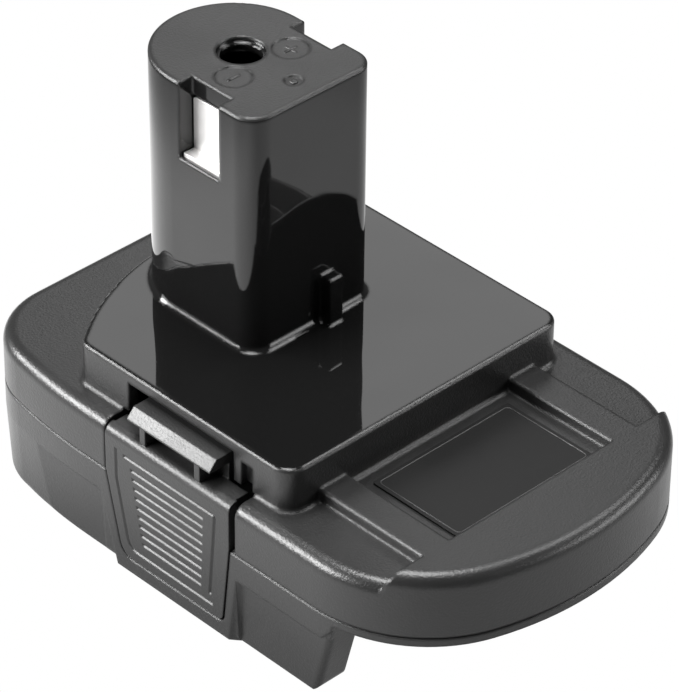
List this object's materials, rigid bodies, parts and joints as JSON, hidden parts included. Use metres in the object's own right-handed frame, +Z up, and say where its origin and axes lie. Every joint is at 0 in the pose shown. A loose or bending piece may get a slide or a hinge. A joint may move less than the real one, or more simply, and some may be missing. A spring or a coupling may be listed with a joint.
{
  "type": "tool battery adapter",
  "caption": "Battery adapter with a plug-in post with side contacts on a stepped base, sprung side release buttons with latch hooks, and a channel below that takes a slide-on battery pack.",
  "frame": {"origin": "middle of the bounding box in X and Y, at the height of the skirts' feet", "axes": "+Z up along the post, +X towards the nose, +Y towards the left side, where the positive contact is"},
  "size_m": [0.1258, 0.0798, 0.0912],
  "materials": {
    "housing_plastic": "fine-grained satin black, with a gloss black post and deck",
    "button_plastic": "fine-grained satin black",
    "spring_steel": "bright drawn wire",
    "carrier_plastic": "satin black",
    "contact_nickel": "nickel-plated strip, satin",
    "screw_steel": "zinc-plated",
    "board_laminate": "satin green solder mask",
    "lead_black": "soft insulated lead",
    "lead_red": "soft insulated lead",
    "label_plastic": "plain satin black"
  },
  "bodies": {
    "housing": {"upper_housing": "housing_plastic", "lower_housing": "housing_plastic", "release_spring_left": "spring_steel", "release_spring_right": "spring_steel", "contact_carrier": "carrier_plastic", "contact_plate_negative": "contact_nickel", "contact_plate_positive": "contact_nickel", "terminal_block": "carrier_plastic", "blade_negative": "contact_nickel", "blade_positive": "contact_nickel", "sense_blades": "contact_nickel", "terminal_block_screws": "screw_steel", "circuit_board": "board_laminate", "board_screws": "screw_steel", "lead_negative": "lead_black", "lead_positive": "lead_red", "housing_screws": "screw_steel", "label_plate": "label_plastic"},
    "button_right": {"release_button_right": "button_plastic"},
    "button_left": {"release_button_left": "button_plastic"}
  },
  "joints": [
    {"name": "button_right_press", "type": "slide", "parent": "housing", "child": "button_right", "axis": [0, 1, 0], "range_m": [0, 0.004], "stiffness_N_per_m": 1300, "springref_m": -0.002, "deforming": ["release_spring_right"]},
    {"name": "button_left_press", "type": "slide", "parent": "housing", "child": "button_left", "axis": [0, -1, 0], "range_m": [0, 0.004], "stiffness_N_per_m": 1300, "springref_m": -0.002, "deforming": ["release_spring_left"]}
  ]
}
